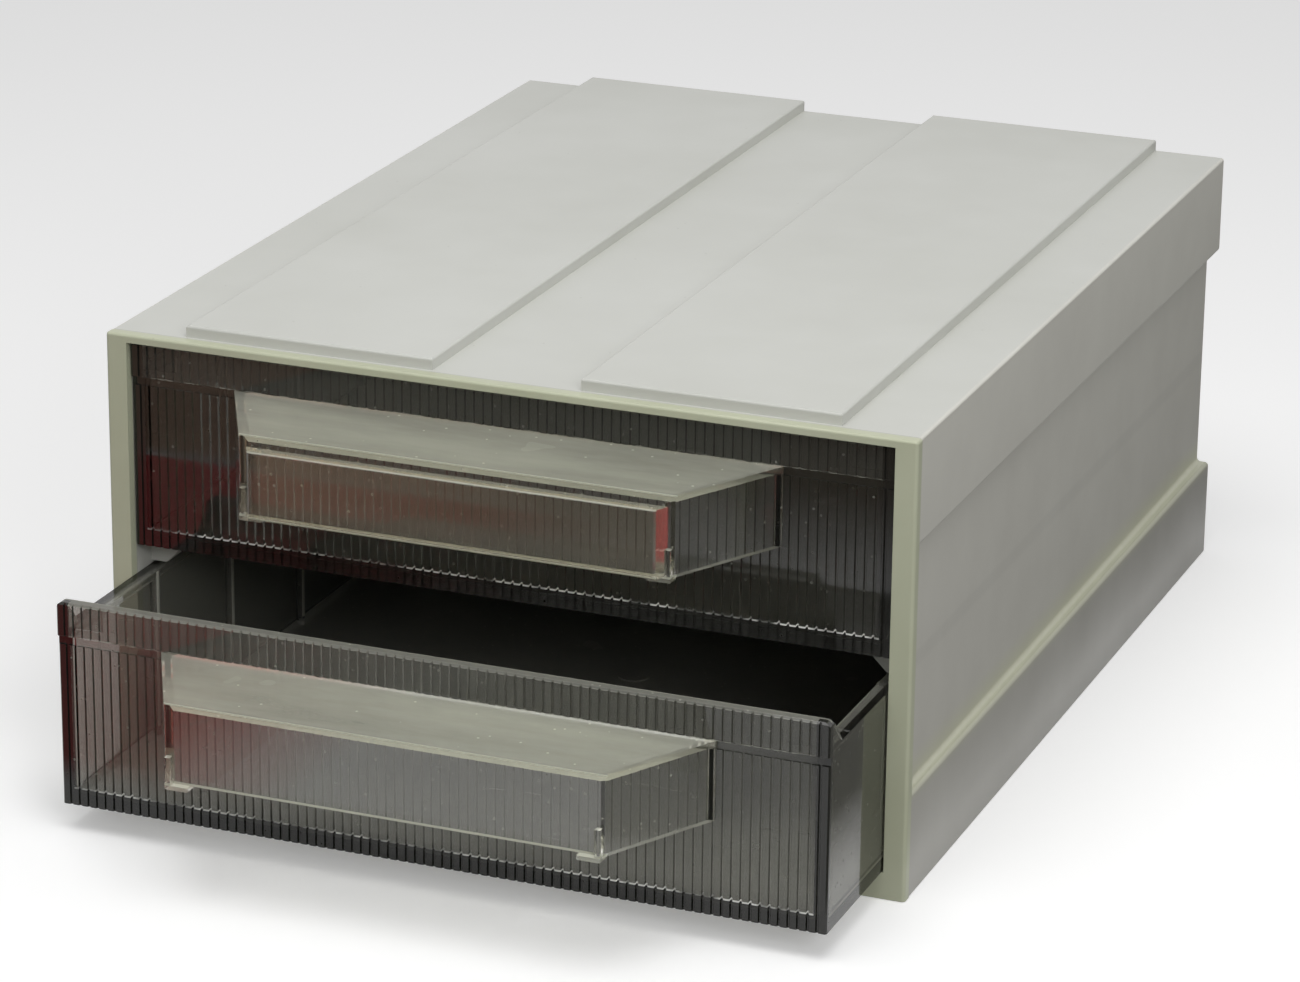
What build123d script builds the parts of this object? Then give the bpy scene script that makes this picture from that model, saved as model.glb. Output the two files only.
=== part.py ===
"""Two-drawer desktop storage cabinet: a moulded grey shell, two smoke-grey drawers with reeded
fronts, a clear hollow handle on each front and a clear label plate on the upper handle.

Frame: X to the right, Y to the rear, Z up, origin at the middle of the cabinet's base.
The cabinet's front faces -Y. The upper drawer is closed and the lower one is pulled out.
"""

import os

from build123d import *

os.makedirs("parts", exist_ok=True)

# --- cabinet shell ------------------------------------------------------------------------
cabinet_width = 272.0
cabinet_depth = 344.0
cabinet_height = 150.0  # flat top, without the raised pads
shell_wall = 2.6
stile_width = 7.2  # side members of the front frame
top_rail = 2.7  # upper member of the front frame
sill_height = 8.8  # lower member of the front frame; the lower drawer slides at this height
frame_depth = 4.0  # front frame, up to the mould's parting line
frame_lip = 0.3  # the frame stands this much proud of the sides behind it
corner_radius = 1.2
edge_radius = 0.9

side_top_band = 34.7  # full-width band at the top of each side
side_bottom_band = 34.5  # full-width band at the bottom of each side
side_recess_front = 3.4  # depth of the recessed panel between the bands, at the front
side_recess_rear = 4.6  # the same at the rear, because the panel is drafted
recess_edge_radius = 1.4  # rounded edges of the bands above and below the recessed panel
recess_inner_radius = 1.6  # where the panel meets the bands

pad_inner = 25.0  # from the middle plane to the near edge of each raised pad
pad_margin = 26.0  # from the cabinet's side to the far edge of each raised pad
pad_height = 3.85
pad_setback = 5.2  # behind the front face
pad_edge_radius = 0.8
stack_clearance = 2.0  # the base channels are this much wider than the pads, each side
guide_rib = 2.4  # ribs that bound the base channels, and the rib under the middle

rail_width = 10.2  # side rails that carry the upper drawer
rail_depth = 8.7  # at the side wall
rail_lip = 4.0  # upright inner edge of the rail, above its sloping underside
rail_setback = 14.0  # behind the front face, clear of the drawer front's corner gussets

# --- drawers ------------------------------------------------------------------------------
side_clearance = 0.4  # drawer to frame, each side
slide_clearance = 0.4  # drawer bottom above what it slides on
top_clearance = 0.4  # upper drawer front below the frame's upper member
front_gap = 0.7  # between the two drawer fronts
rear_clearance = 5.4  # behind a closed drawer
drawer_wall = 3.0
drawer_floor = 2.8
tray_drop = 9.2  # rim of the side and rear walls below the front's top
front_thickness = 3.8
front_setback = 2.0  # closed drawer front behind the cabinet's front face
lower_pull = 54.0  # how far the lower drawer stands open at rest
inner_corner_radius = 3.6  # between walls
floor_fillet = 3.0  # between walls and floor
outer_corner_radius = 1.0
rim_width = 5.2
rim_thickness = 2.2

rib_count = 84
rib_relief = 0.6
rib_crest_share = 0.66  # flat crest of each rib, as a share of the pitch
rib_groove_share = 0.12  # flat bottom of each groove
band_height = 11.2  # proud band along the top of the front
band_relief = 1.0  # the band's ribs stand this far in front of the main ribs
strip_height = 3.1  # smooth strip between the band and the main ribs
top_bevel = 0.7

gusset_reach = 7.5  # sloped corner gussets from the front's top down to the tray's rim
guide_count = 5  # vertical divider guides on each side wall
guide_pitch = 54.0
guide_depth = 2.6
guide_width = 2.6
corner_pad_reach = 11.7  # thickened pads behind the front's top corners, from the side walls
corner_pad_thickness = 1.0
front_corner_radius = 2.2  # outer top corners of the front, seen from the front
guide_round = 1.1  # rounded edges of the divider guides
gate_diameter = 11.0  # moulding gate mark in the middle of the drawer floor
gate_height = 0.5

# --- handles and label plate ----------------------------------------------------------------
handle_back_half = 92.4
handle_front_half = 72.2
handle_reach = 38.0  # from the main ribs to the handle's front face
handle_height = 25.8
handle_drop = 0.3  # handle's top below the band
handle_wall = 3.0
handle_end_wall = 3.4
handle_top_wall = 2.75
handle_corner_radius = 0.8
foot_width = 7.5  # feet under the label plate, at the handle's front corners
foot_drop = 1.4
foot_reach = 2.2
post_width = 1.9  # posts beside the plate's lower corners
post_height = 9.0

label_inset = 2.4  # ends of the plate, inside the ends of the handle's front
label_height = 22.0
label_thickness = 4.6
label_bevel = 0.5
label_gap = 0.05  # air between plate and handle, and between plate and feet

# --- places worked out from the sizes above --------------------------------------------------
half_width = cabinet_width / 2
front_y = -cabinet_depth / 2
rear_y = cabinet_depth / 2
opening_half = half_width - stile_width
opening_top = cabinet_height - top_rail
drawer_half = opening_half - side_clearance
lower_base = sill_height + slide_clearance
upper_front_y = front_y + front_setback
lower_front_y = upper_front_y - lower_pull
rib_pitch = 2 * drawer_half / rib_count
pad_outer = half_width - pad_margin
front_height = (opening_top - lower_base - top_clearance - front_gap) / 2
upper_base = lower_base + front_height + front_gap
rail_top = upper_base - slide_clearance
tray_height = front_height - tray_drop
band_bottom = front_height - band_height
reeding_top = band_bottom - strip_height
handle_top = band_bottom - handle_drop
handle_bottom = handle_top - handle_height
drawer_depth = cabinet_depth - shell_wall - front_setback - rear_clearance
label_half = handle_front_half - label_inset


def block(x0, x1, y0, y1, z0, z1, mode=Mode.ADD):
    """A box between two corners, as an extruded rectangle, inside the part being built."""
    with BuildSketch(Plane.XY.offset(z0)) as footprint:
        with Locations(((x0 + x1) / 2, (y0 + y1) / 2)):
            Rectangle(x1 - x0, y1 - y0)
    extrude(footprint.sketch, amount=z1 - z0, mode=mode)


def mirrored_blocks(x0, x1, y0, y1, z0, z1, mode=Mode.ADD):
    """The same box on the right and on the left of the middle plane."""
    block(x0, x1, y0, y1, z0, z1, mode)
    block(-x1, -x0, y0, y1, z0, z1, mode)


def side_recess(side):
    """Cuts the drafted panel between the bands of one side; side is 1 or -1."""
    start_y = front_y + frame_depth
    with BuildSketch(Plane.XY.offset(side_bottom_band)) as recess:
        with BuildLine():
            Polyline(
                (side * (half_width + 1), start_y),
                (side * (half_width - side_recess_front), start_y),
                (side * (half_width - side_recess_rear), rear_y + 1),
                (side * (half_width + 1), rear_y + 1),
                close=True,
            )
        make_face()
    height = cabinet_height - side_top_band - side_bottom_band
    extrude(recess.sketch, amount=height, mode=Mode.SUBTRACT)


def recess_edges(shell, side, outer):
    """The long edges of one side's recess: on the faces of the bands, or along its bottom."""
    band_edges = (side_bottom_band, cabinet_height - side_top_band)
    middle = half_width - side_recess_front / 2
    found = []
    for edge in shell.edges():
        place = edge.center()
        at_band = min(abs(place.Z - level) for level in band_edges) < 0.01
        beside = side * place.X > half_width - side_recess_rear - 0.5
        if edge.length > cabinet_depth * 0.9 and at_band and beside:
            if (side * place.X > middle) == outer:
                found.append(edge)
    return found


def soften_recess(shell, side):
    """Rounds the long edges of one side's recess; side is 1 or -1."""
    fillet(recess_edges(shell, side, False), recess_inner_radius)
    fillet(recess_edges(shell, side, True), recess_edge_radius)


def side_rail(side):
    """Adds the rail that carries the upper drawer along one side wall; side is 1 or -1."""
    slope = rail_depth - rail_lip
    with BuildSketch(Plane.XZ.offset(-front_y - rail_setback)) as section:
        with BuildLine():
            Polyline(
                (side * (opening_half + 1), rail_top),
                (side * (opening_half - rail_width), rail_top),
                (side * (opening_half - rail_width), rail_top - rail_lip),
                (side * (opening_half - rail_width + slope), rail_top - rail_depth),
                (side * (opening_half + 1), rail_top - rail_depth),
                close=True,
            )
        make_face()
    extrude(section.sketch, amount=-(cabinet_depth - rail_setback - shell_wall / 2))


def build_shell():
    """The cabinet: one moulded box, open at the front, with pads on top and channels below."""
    body_half = half_width - frame_lip
    body_front = front_y + frame_depth
    inner_rear = rear_y - shell_wall
    pad_front = front_y + pad_setback
    channel_inner = pad_inner - stack_clearance
    channel_outer = pad_outer + stack_clearance
    ceiling = cabinet_height - top_rail
    with BuildPart() as shell:
        block(-half_width, half_width, front_y, body_front, 0, cabinet_height)
        fillet(shell.edges().filter_by(Axis.Z).group_by(Axis.Y)[0], corner_radius)
        block(-body_half, body_half, body_front, rear_y, 0, cabinet_height)
        fillet(shell.edges().filter_by(Axis.Z).group_by(Axis.Y)[-1], corner_radius)
        fillet(shell.faces().sort_by(Axis.Z)[-1].edges(), edge_radius)
        pad_top = cabinet_height + pad_height
        mirrored_blocks(pad_inner, pad_outer, pad_front, rear_y, cabinet_height - 1, pad_top)
        fillet(shell.faces().filter_by(Plane.XY).group_by(Axis.Z)[-1].edges(), pad_edge_radius)
        # drawer space, then the hollows behind the bands and pads that keep the wall even
        block(-opening_half, opening_half, front_y, inner_rear, sill_height, ceiling, Mode.SUBTRACT)
        hollow_front = front_y + frame_depth + shell_wall
        mirrored_blocks(
            opening_half - 1, body_half - shell_wall, hollow_front, inner_rear,
            cabinet_height - side_top_band + shell_wall, ceiling, Mode.SUBTRACT,
        )
        mirrored_blocks(
            opening_half - 1, body_half - shell_wall, hollow_front, inner_rear,
            sill_height, side_bottom_band - shell_wall, Mode.SUBTRACT,
        )
        mirrored_blocks(
            pad_inner + shell_wall, pad_outer - shell_wall, pad_front + shell_wall, inner_rear,
            ceiling - 1, pad_top - shell_wall, Mode.SUBTRACT,
        )
        # base: channels for the pads of a unit below, and pockets between them
        channel_depth = sill_height - shell_wall
        mirrored_blocks(channel_inner, channel_outer, body_front, rear_y, 0, channel_depth, Mode.SUBTRACT)
        mirrored_blocks(
            guide_rib / 2, channel_inner - guide_rib, body_front, inner_rear,
            0, channel_depth, Mode.SUBTRACT,
        )
        mirrored_blocks(
            channel_outer + guide_rib, body_half - shell_wall, body_front, inner_rear,
            0, channel_depth, Mode.SUBTRACT,
        )
        for side in (1, -1):
            side_recess(side)
            soften_recess(shell, side)
        for side in (1, -1):
            side_rail(side)
    return shell


def reeding(crest_y, height, base_z):
    """A run of vertical ribs whose crests lie at crest_y, standing on the plane z = base_z."""
    crest = rib_pitch * rib_crest_share / 2
    groove = rib_pitch * rib_groove_share / 2
    groove_y = crest_y + rib_relief
    outline = [(-drawer_half, crest_y + band_relief + rib_relief)]
    for index in range(rib_count):
        middle = -drawer_half + (index + 0.5) * rib_pitch
        outline += [
            (middle - rib_pitch / 2 + groove, groove_y),
            (middle - crest, crest_y),
            (middle + crest, crest_y),
            (middle + rib_pitch / 2 - groove, groove_y),
        ]
    outline[1] = (-drawer_half, groove_y)
    outline[-1] = (drawer_half, groove_y)
    outline += [(drawer_half, crest_y + band_relief + rib_relief)]
    with BuildSketch(Plane.XY.offset(base_z)) as ribs:
        with BuildLine():
            Polyline(*outline, close=True)
        make_face()
    extrude(ribs.sketch, amount=height)


def build_hollow(face_y, base_z):
    """The inside of a drawer, with its rounded corners, ready to be cut out."""
    inner_half = drawer_half - drawer_wall
    with BuildPart() as hollow:
        block(
            -inner_half, inner_half, face_y + front_thickness, face_y + drawer_depth - drawer_wall,
            base_z + drawer_floor, base_z + front_height + 1,
        )
        fillet(hollow.edges().filter_by(Axis.Z), inner_corner_radius)
        fillet(hollow.faces().sort_by(Axis.Z)[0].edges(), floor_fillet)
    return hollow.part


def corner_gusset(side, face_y, base_z):
    """The sloped gusset that joins the front's top corner to the rim; side is 1 or -1."""
    back_y = face_y + front_thickness
    with BuildSketch(Plane.YZ.offset(side * drawer_half)) as gusset:
        with BuildLine():
            Polyline(
                (back_y - 1, base_z + tray_height - 1),
                (back_y - 1, base_z + front_height - top_bevel),
                (back_y, base_z + front_height - top_bevel),
                (back_y + gusset_reach, base_z + tray_height),
                (back_y + gusset_reach, base_z + tray_height - 1),
                close=True,
            )
        make_face()
    extrude(gusset.sketch, amount=-side * drawer_wall)


def divider_guide(side, guide_y, z0, z1):
    """Adds one rounded upright guide on a drawer's side wall; side is 1 or -1."""
    inner_half = drawer_half - drawer_wall
    guide_reach = guide_depth + drawer_wall / 2
    with BuildSketch(Plane.XY.offset(z0)) as section:
        with Locations((side * (inner_half - guide_depth + guide_reach / 2), guide_y)):
            Rectangle(guide_reach, guide_width)
        fillet(section.vertices().group_by(Axis.X)[0 if side > 0 else -1], guide_round)
    extrude(section.sketch, amount=z1 - z0)


def round_front_corners(face_y, base_z):
    """Rounds the two outer top corners of a drawer front."""
    radius = front_corner_radius
    depth = front_thickness + gusset_reach
    centre_x = drawer_half - radius
    centre_z = base_z + front_height - radius
    waste_offset = (radius + 1) / 2
    with BuildSketch(Plane.XZ.offset(-face_y + 1)) as waste:
        for side in (1, -1):
            with Locations((side * (centre_x + waste_offset), centre_z + waste_offset)):
                Rectangle(radius + 1, radius + 1)
            with Locations((side * centre_x, centre_z)):
                Circle(radius, mode=Mode.SUBTRACT)
    extrude(waste.sketch, amount=-(depth + 1), mode=Mode.SUBTRACT)


def build_drawer(face_y, base_z):
    """One smoke-grey drawer, tray and reeded front in one moulding."""
    back_y = face_y + front_thickness
    rear = face_y + drawer_depth
    inner_half = drawer_half - drawer_wall
    rim_top = base_z + tray_height
    slab_y = face_y + band_relief + rib_relief
    hollow = build_hollow(face_y, base_z)
    with BuildPart() as drawer:
        block(-drawer_half, drawer_half, slab_y, rear, base_z, rim_top)
        fillet(drawer.edges().filter_by(Axis.Z).group_by(Axis.Y)[-1], outer_corner_radius)
        block(-drawer_half, drawer_half, slab_y, back_y, base_z, base_z + front_height)
        add(hollow, mode=Mode.SUBTRACT)
        # rim around the tray's mouth
        mirrored_blocks(
            drawer_half - rim_width, inner_half + 1, back_y, rear - drawer_wall,
            rim_top - rim_thickness, rim_top,
        )
        block(
            -inner_half, inner_half, rear - rim_width, rear - drawer_wall + 1,
            rim_top - rim_thickness, rim_top,
        )
        for side in (1, -1):
            corner_gusset(side, face_y, base_z)
        # divider guides, spread evenly about the middle of the tray
        tray_middle = face_y + drawer_depth / 2
        for index in range(guide_count):
            guide_y = tray_middle + (index - (guide_count - 1) / 2) * guide_pitch
            for side in (1, -1):
                divider_guide(side, guide_y, base_z + drawer_floor - 1, rim_top)
        # thickened pads behind the front's top corners
        mirrored_blocks(
            inner_half - corner_pad_reach, inner_half + 1, back_y - 1, back_y + corner_pad_thickness,
            rim_top, base_z + front_height - top_bevel,
        )
        with BuildSketch(Plane.XY.offset(base_z + drawer_floor - 1)):
            with Locations((0, tray_middle)):
                Circle(gate_diameter / 2)
        extrude(amount=gate_height + 1)
        reeding(face_y + band_relief, reeding_top, base_z)
        reeding(face_y, front_height - band_bottom, base_z + band_bottom)
        # bevel along the top of the front
        with BuildSketch(Plane.YZ.offset(-drawer_half - 1)):
            with BuildLine():
                Polyline(
                    (face_y - 1, base_z + front_height + 1),
                    (face_y - 1, base_z + front_height - top_bevel - 1),
                    (face_y, base_z + front_height - top_bevel),
                    (face_y + top_bevel, base_z + front_height),
                    (face_y + top_bevel + 1, base_z + front_height + 1),
                    close=True,
                )
            make_face()
        extrude(amount=2 * drawer_half + 2, mode=Mode.SUBTRACT)
        round_front_corners(face_y, base_z)
    return drawer


def handle_half_at(reach):
    """Half-width of the handle's outline at a distance in front of the main ribs."""
    return handle_back_half + (handle_front_half - handle_back_half) * reach / handle_reach


def tapered_block(back_half, front_half, back_y, front_y_edge, z0, z1, mode=Mode.ADD):
    """A block, wide at the back and narrow at the front, inside the part being built."""
    with BuildSketch(Plane.XY.offset(z0)) as outline:
        with BuildLine():
            Polyline(
                (-back_half, back_y),
                (-front_half, front_y_edge),
                (front_half, front_y_edge),
                (back_half, back_y),
                close=True,
            )
        make_face()
    extrude(outline.sketch, amount=z1 - z0, mode=mode)


def build_handle(face_y, base_z):
    """One clear handle: a hollow, tapered box without bottom or back, with feet for the label plate."""
    rib_y = face_y + band_relief
    grip_y = rib_y - handle_reach
    bottom = base_z + handle_bottom
    top = base_z + handle_top
    taper = (handle_back_half - handle_front_half) / handle_reach
    end_inset = handle_end_wall * (1 + taper**2) ** 0.5
    inner_front_half = handle_half_at(handle_reach - handle_wall) - end_inset
    with BuildPart() as handle:
        tapered_block(handle_back_half, handle_front_half, rib_y, grip_y, bottom, top)
        fillet(handle.edges().filter_by(Axis.Z).group_by(Axis.Y)[0], handle_corner_radius)
        tapered_block(
            handle_half_at(-1) - end_inset, inner_front_half, rib_y + 1, grip_y + handle_wall,
            bottom, top - handle_top_wall, Mode.SUBTRACT,
        )
        post_outer = handle_front_half - handle_corner_radius
        foot_y = grip_y - foot_reach
        mirrored_blocks(
            post_outer - foot_width, post_outer, foot_y, grip_y + handle_wall,
            bottom - foot_drop, bottom,
        )
        mirrored_blocks(
            post_outer - post_width + label_gap, post_outer, foot_y, grip_y + 1,
            bottom - foot_drop, bottom + post_height,
        )
        # the plate's lower corners drop behind the posts
        tapered_block(
            label_half, label_half - foot_reach * taper, grip_y, foot_y,
            bottom, bottom + post_height, Mode.SUBTRACT,
        )
    return handle


def build_label_plate(face_y, base_z):
    """The clear, slightly yellowed plate in front of the handle's grip face."""
    grip_y = face_y + band_relief - handle_reach
    bottom = base_z + handle_bottom + label_gap
    taper = (handle_back_half - handle_front_half) / handle_reach
    rear = grip_y - label_gap
    with BuildPart() as plate:
        tapered_block(
            label_half - label_gap, label_half - label_gap - label_thickness * taper,
            rear, rear - label_thickness, bottom, bottom + label_height,
        )
        chamfer(plate.faces().sort_by(Axis.Y)[0].edges(), label_bevel)
    return plate


cabinet_shell = build_shell()
cabinet_shell.part.label = "cabinet_shell"
export_step(cabinet_shell.part, "parts/cabinet_shell.step")

upper_drawer = build_drawer(upper_front_y, upper_base)
upper_drawer.part.label = "upper_drawer"
export_step(upper_drawer.part, "parts/upper_drawer.step")

lower_drawer = build_drawer(lower_front_y, lower_base)
lower_drawer.part.label = "lower_drawer"
export_step(lower_drawer.part, "parts/lower_drawer.step")

upper_handle = build_handle(upper_front_y, upper_base)
upper_handle.part.label = "upper_handle"
export_step(upper_handle.part, "parts/upper_handle.step")

lower_handle = build_handle(lower_front_y, lower_base)
lower_handle.part.label = "lower_handle"
export_step(lower_handle.part, "parts/lower_handle.step")

upper_label_plate = build_label_plate(upper_front_y, upper_base)
upper_label_plate.part.label = "upper_label_plate"
export_step(upper_label_plate.part, "parts/upper_label_plate.step")
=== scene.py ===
"""Looks of the two-drawer desktop cabinet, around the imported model.

The masks use object coordinates, which are the model's own frame: X to the right, Y to the rear,
Z up, the origin in the middle of the cabinet's base, in metres. Colours are linear.
"""

import bpy
from mathutils import Matrix, Vector


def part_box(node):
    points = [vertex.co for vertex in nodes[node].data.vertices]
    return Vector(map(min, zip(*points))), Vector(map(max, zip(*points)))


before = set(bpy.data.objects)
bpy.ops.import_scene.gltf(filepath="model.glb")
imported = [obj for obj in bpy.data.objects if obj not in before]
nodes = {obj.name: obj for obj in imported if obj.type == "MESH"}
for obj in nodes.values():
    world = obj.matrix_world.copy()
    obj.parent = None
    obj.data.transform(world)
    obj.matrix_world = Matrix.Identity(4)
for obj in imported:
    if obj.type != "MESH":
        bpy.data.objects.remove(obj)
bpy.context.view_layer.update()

# --- colours --------------------------------------------------------------------------------
TOP_LIGHT = (0.622, 0.628, 0.588, 1)
TOP_DARK = (0.578, 0.583, 0.540, 1)
SIDE_LIGHT = (0.735, 0.725, 0.660, 1)
SIDE_DARK = (0.680, 0.667, 0.607, 1)
# painted shade on the lower and rear parts of the sides
SIDE_PAINTED_SHADE = (0.270, 0.262, 0.235, 1)
FRAME_LIGHT = (0.540, 0.560, 0.415, 1)
FRAME_DARK = (0.504, 0.523, 0.380, 1)
LEDGE_YELLOW = (0.560, 0.575, 0.400, 1)
# painted shade of the sink mark
SINK_SHADE = (0.30, 0.30, 0.28, 1)
SEAM_DARK = (0.20, 0.20, 0.17, 1)
DUST_BROWN = (0.28, 0.26, 0.22, 1)
CLEAR = (1, 1, 1, 1)
SMOKE_TINT = (0.25, 0.24, 0.18, 1)
SMOKE_HAZE_AND_GLINT = (0.60, 0.60, 0.53, 1)
# painted shade, for walls seen edge-on and for rib flanks
SMOKE_BLACK = (0.012, 0.012, 0.010, 1)
GLINT_WHITE = (0.86, 0.86, 0.82, 1)
HANDLE_TINT = (0.80, 0.78, 0.68, 1)
LABEL_TINT = (0.80, 0.72, 0.50, 1)
HANDLE_HAZE_AND_GLINT = (0.78, 0.79, 0.68, 1)
FLOOR_LIT = (0.26, 0.26, 0.26, 1)
FLOOR_SEEN = (0.90, 0.90, 0.90, 1)
FRONT_CARD = (0.24, 0.20, 0.155, 1)
LEFT_CARD = (0.78, 0.15, 0.15, 1)
FAR_LEFT_CARD = (0.58, 0.38, 0.28, 1)
RIGHT_CARD = (0.22, 0.22, 0.20, 1)

# --- places on the housing ------------------------------------------------------------------
HALF_DEPTH = 0.172
LEDGE_FOOT, LEDGE_TOP = 0.0300, 0.0345      # the ledge under the recessed side panel
PANEL_TOP, PANEL_LIP = 0.1153, 0.1200       # where the recess ends, and the band above it
PANEL_DEEP, PANEL_EDGE = 0.1300, 0.1310     # half-widths that belong to the recessed panel
SIDE_SKIN = (0.0016, 0.0006)                # from the outermost faces inward
# painted shade on the sides fades out from the first height to the second
SIDE_SHADE_FOOT, SIDE_SHADE_END = 0.035, 0.150
FRAME_DEPTH = (0.0034, 0.0042)              # the yellowed front frame fades out here
SEAM_DEPTH, SEAM_HALF = 0.0041, 0.00016
SINK_RISE, SINK_FALL = (0.0715, 0.0735), (0.0765, 0.0780)
STAIN_FALL = (0.0360, 0.0440)               # the yellow on the ledge fades out up here

# --- places on a drawer, from its own box ---------------------------------------------------
INNER_X, INNER_Y, INNER_Z = 0.0026, 0.0033, 0.0025      # just inside the walls
BAND_HEIGHT, BAND_DEPTH = 0.0112, 0.0032    # the band along the top of the front
BAND_STEP = 0.0010                          # rib crests stand this far behind the band's
CREST_DEPTH = 0.00010
FLANK_DEPTH = (0.00012, 0.00059)            # flanks of a rib, behind its crest
GUIDE_X = (0.1227, 0.1231)                  # outer edges of the divider guides
GUIDE_FOOT, GUIDE_FRONT, GUIDE_REAR = 0.0060, 0.0200, 0.0100
FLOOR_TOP = 0.0045
# depth of the painted highlight along the top edge
TOP_EDGE = 0.00075
RIB_END_HALF, RIB_END_DEPTH = 0.00022, 0.00095
FRONT_DEPTH = 0.0028                        # what belongs to the front's outer face
BLACK_FOOT, BLACK_END, UNDERSIDE = 0.0058, 0.0042, 0.0001
GLINT_LOW, GLINT_HIGH, GLINT_HALF, GLINT_REACH = 0.0059, 0.0064, 0.00028, 0.0006
FLANK_X = 0.06                              # painted shade on the flanks grows darker from here left to here right

# --- places on a handle ---------------------------------------------------------------------
FOOT_REACH, FOOT_DROP = 0.0022, 0.0014      # its tabs stand out in front and below
LOW_LINE, LOW_SLACK, HIGH_LINE, LINE_DEPTH = 0.00075, 0.0001, 0.00035, 0.0006

# --- numbers shared by the materials --------------------------------------------------------
NOISE_SPAN = (0.3, 0.7)                     # nearly all of a noise texture's values
TONE_SPAN = (0.35, 0.65)
SMOKE_DENSITY, HANDLE_DENSITY, LABEL_DENSITY = 230.0, 45.0, 70.0


# --- node helpers ---------------------------------------------------------------------------
class Graph:
    """Short calls for building one node tree."""

    def __init__(self, owner, output):
        owner.use_nodes = True
        self.owner = owner
        self.tree = owner.node_tree
        self.tree.nodes.clear()
        self.out = self.node(output)

    def node(self, kind, **settings):
        made = self.tree.nodes.new("ShaderNode" + kind)
        for key, value in settings.items():
            setattr(made, key, value)
        return made

    def link(self, source, target):
        self.tree.links.new(source, target)

    def put(self, socket, value):
        """Links a value that comes from a socket, and sets a plain one."""
        if isinstance(value, bpy.types.NodeSocket):
            self.link(value, socket)
        else:
            socket.default_value = value

    def coordinates(self):
        return self.node("TexCoord").outputs["Object"]

    def split(self, vector):
        made = self.node("SeparateXYZ")
        self.link(vector, made.inputs[0])
        return made.outputs

    def scaled(self, vector, scale, rotation=(0, 0, 0)):
        made = self.node("Mapping")
        self.link(vector, made.inputs["Vector"])
        made.inputs["Scale"].default_value = scale
        made.inputs["Rotation"].default_value = rotation
        return made.outputs["Vector"]

    def noise(self, vector, scale, detail=3.0, roughness=0.5):
        made = self.node("TexNoise")
        self.link(vector, made.inputs["Vector"])
        made.inputs["Scale"].default_value = scale
        made.inputs["Detail"].default_value = detail
        made.inputs["Roughness"].default_value = roughness
        return made.outputs["Fac"]

    def math(self, operation, a, b=0.0):
        made = self.node("Math", operation=operation)
        self.put(made.inputs[0], a)
        self.put(made.inputs[1], b)
        return made.outputs[0]

    def times(self, first, *others):
        for other in others:
            first = self.math("MULTIPLY", first, other)
        return first

    def plus(self, first, *others):
        for other in others:
            first = self.math("ADD", first, other)
        return first

    def most(self, a, b):
        return self.math("MAXIMUM", a, b)

    def size(self, value):
        return self.math("ABSOLUTE", value)

    def over(self, value, limit):
        """1 where the value is over the limit, else 0."""
        return self.math("GREATER_THAN", value, limit)

    def under(self, value, limit):
        """1 where the value is under the limit, else 0."""
        return self.math("LESS_THAN", value, limit)

    def close(self, value, middle, half):
        """1 within half of the middle, else 0."""
        return self.under(self.size(self.math("SUBTRACT", value, middle)), half)

    def remap(self, value, span, a, b):
        """Runs from a to b while the value crosses the span, and stays level outside it."""
        made = self.node("MapRange")
        self.put(made.inputs["Value"], value)
        names = ("From Min", "From Max", "To Min", "To Max")
        for name, number in zip(names, (*span, a, b)):
            made.inputs[name].default_value = number
        return made.outputs["Result"]

    def rise(self, value, start, end):
        return self.remap(value, (start, end), 0.0, 1.0)

    def fall(self, value, start, end):
        return self.remap(value, (start, end), 1.0, 0.0)

    def blend(self, factor, a, b):
        """Colour a where the factor is 0, colour b where it is 1."""
        made = self.node("Mix", data_type="RGBA")
        self.put(made.inputs[0], factor)
        self.put(made.inputs[6], a)
        self.put(made.inputs[7], b)
        return made.outputs[2]

    def bump(self, height, distance, strength):
        made = self.node("Bump")
        self.link(height, made.inputs["Height"])
        made.inputs["Distance"].default_value = distance
        made.inputs["Strength"].default_value = strength
        return made.outputs["Normal"]

    def plastic(self, colour, roughness, ior, transmission=0.0):
        made = self.node("BsdfPrincipled")
        self.put(made.inputs["Base Color"], colour)
        self.put(made.inputs["Roughness"], roughness)
        made.inputs["IOR"].default_value = ior
        made.inputs["Transmission Weight"].default_value = transmission
        return made

    def dull(self, kind, colour):
        made = self.node(kind)
        self.put(made.inputs["Color"], colour)
        return made

    def layers(self, factor, a, b):
        """Shader a where the factor is 0, shader b where it is 1."""
        made = self.node("MixShader")
        self.put(made.inputs[0], factor)
        self.link(a.outputs[0], made.inputs[1])
        self.link(b.outputs[0], made.inputs[2])
        return made

    def surface(self, shader):
        self.link(shader.outputs[0], self.out.inputs["Surface"])

    def absorb(self, colour, density):
        """Clear plastic that takes on a tint with its thickness."""
        made = self.dull("VolumeAbsorption", colour)
        made.inputs["Density"].default_value = density
        self.link(made.outputs[0], self.out.inputs["Volume"])

    def ray_kinds(self):
        """1 for rays from the camera, from gloss and through clear plastic, 0 for diffuse light."""
        path = self.node("LightPath").outputs
        seen = self.most(path["Is Camera Ray"], path["Is Glossy Ray"])
        return self.most(seen, path["Is Transmission Ray"])


def new_material(name):
    return Graph(bpy.data.materials.new(name), "OutputMaterial")


def dress(obj, material):
    """Gives a mesh one material on every face."""
    obj.data.materials.clear()
    obj.data.materials.append(material)


def specks(g, place, cells, radius, share):
    """1 on sparse round specks of dust."""
    dots = g.node("TexVoronoi")
    g.link(place, dots.inputs["Vector"])
    dots.inputs["Scale"].default_value = cells
    chosen = g.over(g.split(dots.outputs["Color"])[0], 1.0 - share)
    return g.times(g.under(dots.outputs["Distance"], radius), chosen)


def scratches(g, place, scale, rotation, threshold):
    """1 on thin streaks along one direction."""
    return g.over(g.noise(g.scaled(place, scale, rotation), 1.0, 2.0), threshold)


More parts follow.
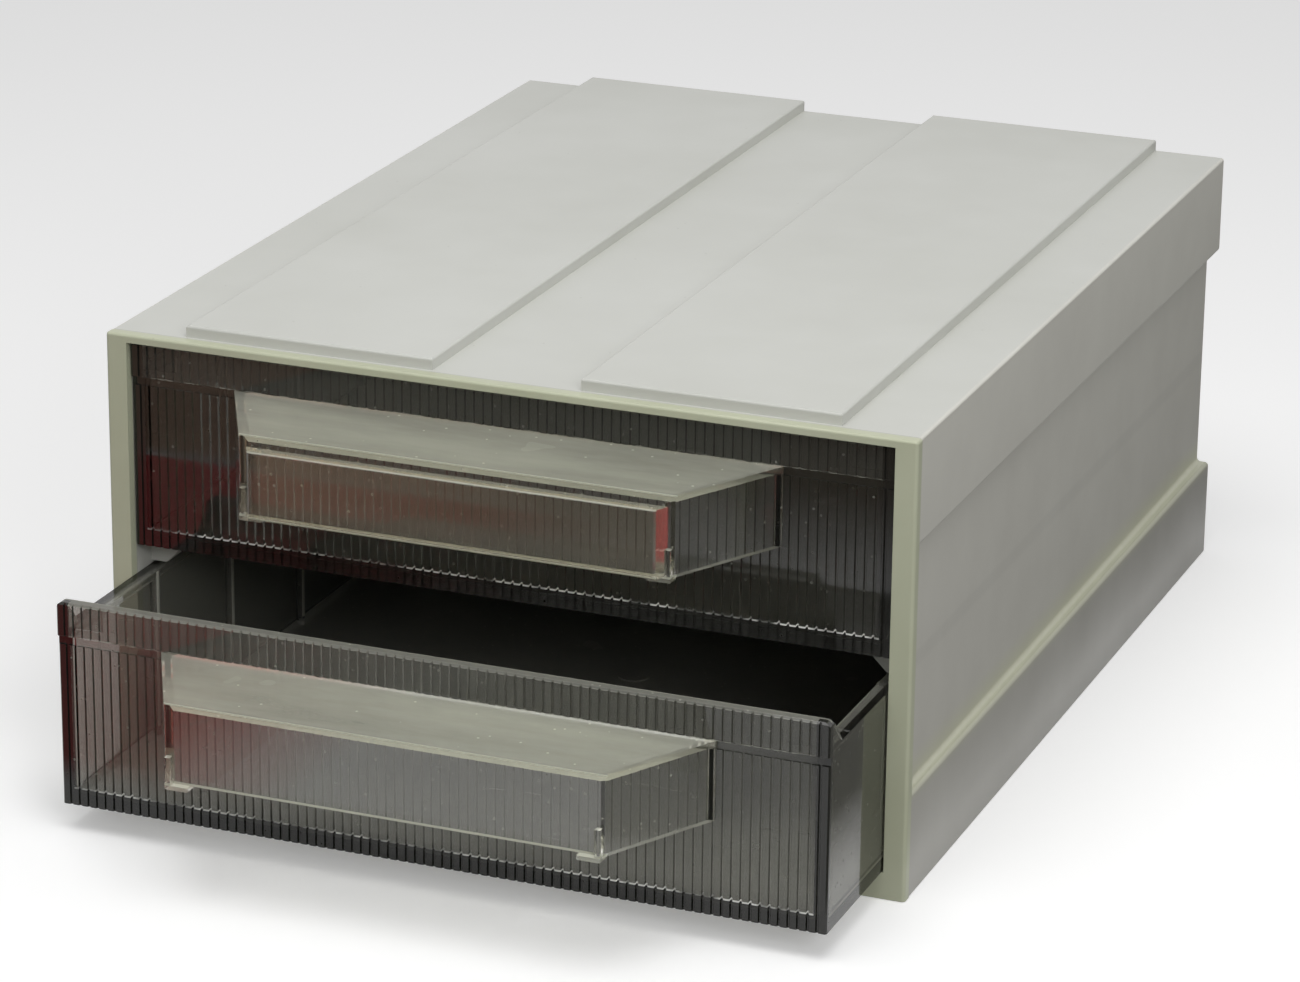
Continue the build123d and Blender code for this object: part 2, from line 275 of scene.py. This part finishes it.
def clouded(g, glass, amount, colour):
    """Mixes clear plastic with surface haze that scatters light both ways; also used for painted
    highlights.
    """
    film = g.layers(0.5, g.dull("BsdfDiffuse", colour), g.dull("BsdfTranslucent", colour))
    return g.layers(amount, glass, film)


# --- materials ------------------------------------------------------------------------------
def side_colour(g, tone, blotch, y, z):
    """A little warmer than the top; painted shade darkens it towards the base and the rear."""
    on_panel, under_ledge, in_blotches = 0.36, 0.30, 0.04
    at_front, at_rear = 0.80, 1.35
    # painted shade: darker towards the base and the rear, darker again below the ledge, plus faint
    # blotches
    side_shade = g.plus(g.remap(z, (SIDE_SHADE_FOOT, SIDE_SHADE_END), on_panel, 0.0),
                  g.times(g.under(z, LEDGE_TOP), under_ledge))
    side_shade = g.times(side_shade, g.remap(y, (-HALF_DEPTH, HALF_DEPTH), at_front, at_rear))
    side_shade = g.plus(side_shade, g.remap(blotch, NOISE_SPAN, 0.0, in_blotches))
    clean = g.blend(g.rise(tone, *TONE_SPAN), SIDE_LIGHT, SIDE_DARK)
    return g.blend(side_shade, clean, SIDE_PAINTED_SHADE)


def housing_plastic():
    """Satin grey moulding, yellowed on the front frame and along the lower ledge."""
    cloud_scale, blotch_scale, grain_scale = 7.0, 38.0, 1500.0
    stain_share, sink_share, seam_share, dust_share = 0.55, 0.10, 0.45, 0.25
    g = new_material("grey_housing_plastic")
    place = g.coordinates()
    x, y, z = g.split(place)
    low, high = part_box("cabinet_shell")
    blotch = g.noise(place, blotch_scale, 4.0)
    tone = g.plus(g.times(g.noise(place, cloud_scale, 4.0), 0.7), g.times(blotch, 0.3))
    body = g.blend(g.rise(tone, *TONE_SPAN), TOP_LIGHT, TOP_DARK)
    outermost = g.rise(g.size(x), high.x - SIDE_SKIN[0], high.x - SIDE_SKIN[1])
    in_recess = g.times(g.rise(z, LEDGE_FOOT, LEDGE_TOP), g.fall(z, PANEL_TOP, PANEL_LIP),
                        g.rise(g.size(x), PANEL_DEEP, PANEL_EDGE))
    colour = g.blend(g.most(outermost, in_recess), body, side_colour(g, tone, blotch, y, z))
    ledge = g.times(g.rise(z, LEDGE_FOOT, LEDGE_TOP), g.fall(z, *STAIN_FALL), in_recess)
    colour = g.blend(g.times(ledge, stain_share), colour, LEDGE_YELLOW)
    # painted shade of a faint sink mark on each side, where the rail for the upper drawer joins the
    # wall
    sink_shade = g.times(g.rise(z, *SINK_RISE), g.fall(z, *SINK_FALL))
    colour = g.blend(g.times(sink_shade, sink_share), colour, SINK_SHADE)
    on_frame = g.fall(y, low.y + FRAME_DEPTH[0], low.y + FRAME_DEPTH[1])
    frame_tone = g.blend(g.rise(blotch, *NOISE_SPAN), FRAME_LIGHT, FRAME_DARK)
    colour = g.blend(on_frame, colour, frame_tone)
    # fine dark line where the mould parted, behind the front frame
    seam = g.close(y, low.y + SEAM_DEPTH, SEAM_HALF)
    colour = g.blend(g.times(seam, seam_share), colour, SEAM_DARK)
    dust = specks(g, place, 260.0, 0.10, 0.05)
    colour = g.blend(g.times(dust, dust_share), colour, DUST_BROWN)
    shader = g.plastic(colour, g.remap(tone, NOISE_SPAN, 0.34, 0.46), 1.5)
    grain = g.noise(place, grain_scale, 2.0)
    g.put(shader.inputs["Normal"], g.bump(grain, 0.00002, 0.3))
    g.surface(shader)
    return g.owner


def haze_and_highlights(g, node, place, cloud, flank_y, haze, crest_sheen):
    """How cloudy a drawer is, under dust and scratches and inside the tray, plus painted highlights
    and sheen.
    """
    dust_haze, scratch_haze, cloud_haze = 0.5, 0.10, 0.02
    band_haze, guide_glint_share, floor_haze, top_highlight_share = 0.09, 0.75, 0.45, 0.42
    low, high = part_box(node)
    x, y, z = g.split(place)
    reach = g.size(x)
    inside = g.times(g.under(reach, high.x - INNER_X), g.over(y, low.y + INNER_Y),
                     g.over(z, low.z + INNER_Z))
    dust = specks(g, place, 420.0, 0.16, 0.12)
    marks = scratches(g, place, (60, 60, 900), (0.3, 0.5, 0.2), 0.71)
    in_band = g.times(g.over(z, high.z - BAND_HEIGHT), g.under(y, low.y + BAND_DEPTH))
    streaks = g.noise(g.scaled(place, (330, 40, 9)), 1.0, 3.0, 0.6)
    # painted sheen: hazier rib crests in streaks, for the light the pulled-out lower drawer catches
    crest_sheen_streaks = g.times(g.under(flank_y, CREST_DEPTH),
                          g.remap(streaks, NOISE_SPAN, 0.3 * crest_sheen, 1.9 * crest_sheen))
    # painted highlight: bright vertical lines on the divider guides
    guide_glints = g.times(g.over(reach, GUIDE_X[0]), g.under(reach, GUIDE_X[1]),
                     g.over(z, low.z + GUIDE_FOOT), g.over(y, low.y + GUIDE_FRONT),
                     g.under(y, high.y - GUIDE_REAR))
    tray_floor = g.times(inside, g.under(z, low.z + FLOOR_TOP))
    # painted highlight along the top edge of the walls and the front
    top_edge_highlight = g.over(z, high.z - TOP_EDGE)
    # painted highlights: bright dots at the lower ends of the band's ribs
    rib_end_glints = g.times(g.close(z, high.z - BAND_HEIGHT, RIB_END_HALF),
                       g.under(y, low.y + RIB_END_DEPTH),
                       g.remap(g.noise(place, 220.0), (0.45, 0.6), 0.0, 0.9))
    return g.plus(
        g.times(dust, dust_haze), g.times(marks, scratch_haze),
        g.remap(cloud, (0.4, 0.8), 0.0, cloud_haze),
        g.times(inside, g.remap(cloud, NOISE_SPAN, haze * 0.78, haze * 1.22)),
        g.times(in_band, band_haze), crest_sheen_streaks, g.times(guide_glints, guide_glint_share),
        g.times(tray_floor, floor_haze), g.times(top_edge_highlight, top_highlight_share), rib_end_glints)


def smoke_plastic(node, haze, crest_sheen):
    """Smoke-grey clear plastic: hazy inside the tray, with painted shade and painted highlights."""
    flank_left, flank_right, black_share = 0.08, 0.36, 0.93
    g = new_material("smoke_plastic_" + node)
    low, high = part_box(node)
    place = g.coordinates()
    x, y, z = g.split(place)
    cloud = g.noise(place, 26.0, 5.0, 0.6)
    glass = g.plastic(CLEAR, g.remap(cloud, NOISE_SPAN, 0.0, 0.05), 1.5, 1.0)
    # depth behind the rib crests: those of the band along the top stand further out
    in_band = g.over(z, high.z - BAND_HEIGHT)
    crest_y = g.plus(low.y + BAND_STEP, g.times(in_band, -BAND_STEP))
    flank_y = g.math("SUBTRACT", y, crest_y)
    hazy_and_highlit = clouded(g, glass, haze_and_highlights(g, node, place, cloud, flank_y, haze, crest_sheen), SMOKE_HAZE_AND_GLINT)
    # painted shade: the front is painted black where the floor plate and the side walls, seen
    # through it along their length, look black
    at_front = g.under(y, low.y + FRONT_DEPTH)
    at_end = g.over(g.size(x), high.x - BLACK_END)
    black = g.times(at_front, g.most(g.under(z, low.z + BLACK_FOOT), at_end))
    black = g.most(black, g.times(g.under(z, low.z + UNDERSIDE), at_front))
    # painted shade: darker flanks between the ribs, growing darker towards the right
    flank_shade = g.times(g.over(flank_y, FLANK_DEPTH[0]), g.under(flank_y, FLANK_DEPTH[1]),
                    g.remap(x, (-FLANK_X, FLANK_X), flank_left, flank_right))
    black = g.times(g.most(black, flank_shade), black_share)
    body = g.layers(black, hazy_and_highlit, g.plastic(SMOKE_BLACK, 0.12, 1.5))
    # painted highlight: a bright zigzag line where the floor plate meets the back of the front
    zigzag = g.remap(flank_y, (0.0, GLINT_REACH), low.z + GLINT_LOW, low.z + GLINT_HIGH)
    glint = g.times(g.close(z, zigzag, GLINT_HALF), at_front,
                    g.under(g.size(x), high.x - BLACK_END),
                    g.remap(g.noise(place, 110.0), (0.42, 0.56), 0.15, 1.0))
    g.surface(g.layers(glint, body, g.dull("BsdfDiffuse", GLINT_WHITE)))
    g.absorb(SMOKE_TINT, SMOKE_DENSITY)
    return g.owner


def clear_plastic(name, tint, density, haze, bottom, top, front):
    """Clear plastic, clouded on the faces that look up, with painted highlights along the edges of
    its front.
    """
    level_span, upright_haze, dust_haze, scratch_haze, front_highlight_share = (0.5, 0.95), 0.02, 0.4, 0.06, 0.85
    g = new_material(name)
    place = g.coordinates()
    x, y, z = g.split(place)
    cloud = g.noise(g.scaled(place, (9, 34, 34)), 1.0, 5.0, 0.6)
    glass = g.plastic(CLEAR, g.remap(cloud, NOISE_SPAN, 0.0, 0.04), 1.48, 1.0)
    normal = g.node("NewGeometry").outputs["Normal"]
    level = g.rise(g.size(g.split(normal)[2]), *level_span)
    dust = specks(g, place, 380.0, 0.16, 0.08)
    marks = scratches(g, place, (50, 50, 900), (0.9, 0.3, 0.1), 0.71)
    amount = g.times(g.remap(cloud, NOISE_SPAN, 0.62, 1.14),
                     g.remap(level, (0.0, 1.0), upright_haze, haze))
    amount = g.plus(amount, g.times(dust, dust_haze), g.times(marks, scratch_haze))
    # painted highlights along the low and high edges of the front
    low_front_highlight = g.times(g.under(z, bottom + LOW_LINE), g.over(z, bottom - LOW_SLACK))
    front_highlights = g.times(g.most(low_front_highlight, g.over(z, top - HIGH_LINE)), g.under(y, front + LINE_DEPTH))
    g.surface(clouded(g, glass, g.most(amount, g.times(front_highlights, front_highlight_share)), HANDLE_HAZE_AND_GLINT))
    g.absorb(tint, density)
    return g.owner


dress(nodes["cabinet_shell"], housing_plastic())
# the last number is a painted sheen on the rib crests, given to the pulled-out lower drawer only
for node, haze, crest_sheen in (("upper_drawer", 0.19, 0.0), ("lower_drawer", 0.26, 0.09)):
    dress(nodes[node], smoke_plastic(node, haze, crest_sheen))
for node in ("upper_handle", "lower_handle"):
    handle_low, handle_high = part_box(node)
    dress(nodes[node], clear_plastic(
        "clear_plastic_" + node, HANDLE_TINT, HANDLE_DENSITY, 0.46,
        handle_low.z + FOOT_DROP, handle_high.z, handle_low.y + FOOT_REACH))
plate_low, plate_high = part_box("upper_label_plate")
dress(nodes["upper_label_plate"], clear_plastic(
    "yellowed_label_plastic", LABEL_TINT, LABEL_DENSITY, 0.30,
    plate_low.z, plate_high.z, plate_low.y))


# --- stage, light and camera ----------------------------------------------------------------
def flat_sheet(name, low, high, height, material):
    """A level rectangle of the stage."""
    corners = [(low[0], low[1]), (high[0], low[1]), (high[0], high[1]), (low[0], high[1])]
    mesh = bpy.data.meshes.new(name)
    mesh.from_pydata([(x, y, height) for x, y in corners], [], [(0, 1, 2, 3)])
    sheet = bpy.data.objects.new(name, mesh)
    bpy.context.scene.collection.objects.link(sheet)
    sheet.data.materials.append(material)
    return sheet


def make_floor():
    """White where it is seen, darker as a source of bounced light."""
    half, drop, glow_strength = 6.0, 0.0002, 0.24
    g = new_material("floor_card")
    seen = g.ray_kinds()
    shader = g.dull("BsdfDiffuse", g.blend(seen, FLOOR_LIT, FLOOR_SEEN))
    glow = g.node("Emission")
    g.put(glow.inputs["Strength"], g.times(seen, glow_strength))
    both = g.node("AddShader")
    g.link(shader.outputs[0], both.inputs[0])
    g.link(glow.outputs[0], both.inputs[1])
    g.surface(both)
    floor = flat_sheet("floor", (-half, -half), (half, half), -drop, g.owner)


def make_card(name, low, high, height, colour, fade, rear_fade):
    """A dull card lying beside the object that only reflections see, like a studio flag."""
    g = new_material(name + "_card")
    x, y, z = g.split(g.coordinates())
    edges = g.times(g.rise(x, low[0], low[0] + fade), g.fall(x, high[0] - fade, high[0]),
                    g.fall(y, high[1] - rear_fade, high[1]))
    g.surface(g.layers(edges, g.node("BsdfTransparent"), g.dull("BsdfDiffuse", colour)))
    card = flat_sheet(name, low, high, height, g.owner)
    card.visible_camera = False
    card.visible_diffuse = False
    card.visible_shadow = False


def make_world():
    """Soft light, brighter overhead; white where the camera looks past everything."""
    horizon, overhead = 0.18, 0.62
    g = Graph(bpy.data.worlds.new("studio"), "OutputWorld")
    bpy.context.scene.world = g.owner
    height = g.split(g.node("TexCoord").outputs["Generated"])[2]
    light = g.node("Background")
    g.put(light.inputs["Strength"], g.remap(height, (0.0, 1.0), horizon, overhead))
    white = g.node("Background")
    white.inputs["Strength"].default_value = 1.0
    g.surface(g.layers(g.ray_kinds(), light, white))


def soft_box(name, place, target, size, power):
    data = bpy.data.lights.new(name, "AREA")
    data.shape = "RECTANGLE"
    data.size, data.size_y = size
    data.energy = power
    lamp = bpy.data.objects.new(name, data)
    bpy.context.scene.collection.objects.link(lamp)
    lamp.location = place
    aim = Vector(target) - Vector(place)
    lamp.rotation_mode = "QUATERNION"
    lamp.rotation_quaternion = aim.to_track_quat("-Z", "Y")


def make_camera():
    """Stands where the photograph was taken from."""
    place = (0.56868, -1.49489, 0.62481)
    turn = Matrix(((0.92956257, -0.13239052, 0.34407292),
                   (0.36850273, 0.30603244, -0.87780971),
                   (0.01091621, 0.94277086, 0.33326257)))
    data = bpy.data.cameras.new("camera")
    data.sensor_fit = "HORIZONTAL"
    data.sensor_width = 36.0
    data.lens = 136.38
    data.clip_start, data.clip_end = 0.05, 40.0
    camera = bpy.data.objects.new("camera", data)
    bpy.context.scene.collection.objects.link(camera)
    camera.matrix_world = Matrix.Translation(place) @ turn.to_4x4()
    bpy.context.scene.camera = camera


make_floor()
make_world()
# cards on the floor, for the dark and the dull red reflections in the clear plastic
make_card("front_flag", (-1.20, -1.10), (0.90, -0.40), 0.010, FRONT_CARD, 0.09, 0.09)
make_card("left_flag", (-0.42, -0.42), (-0.060, -0.232), 0.012, LEFT_CARD, 0.060, 0.02)
make_card("far_left_flag", (-0.70, -0.80), (-0.08, -0.42), 0.012, FAR_LEFT_CARD, 0.15, 0.01)
make_card("right_flag", (0.139, -0.34), (0.90, 0.80), 0.008, RIGHT_CARD, 0.02, 0.02)
soft_box("overhead", (0.15, -0.50, 1.25), (0, -0.05, 0.1), (1.0, 0.8), 7.9)
soft_box("front_fill", (1.35, -1.5, 1.05), (0, -0.10, 0.05), (0.9, 0.7), 12.0)
make_camera()
bpy.context.scene.view_settings.view_transform = "Standard"
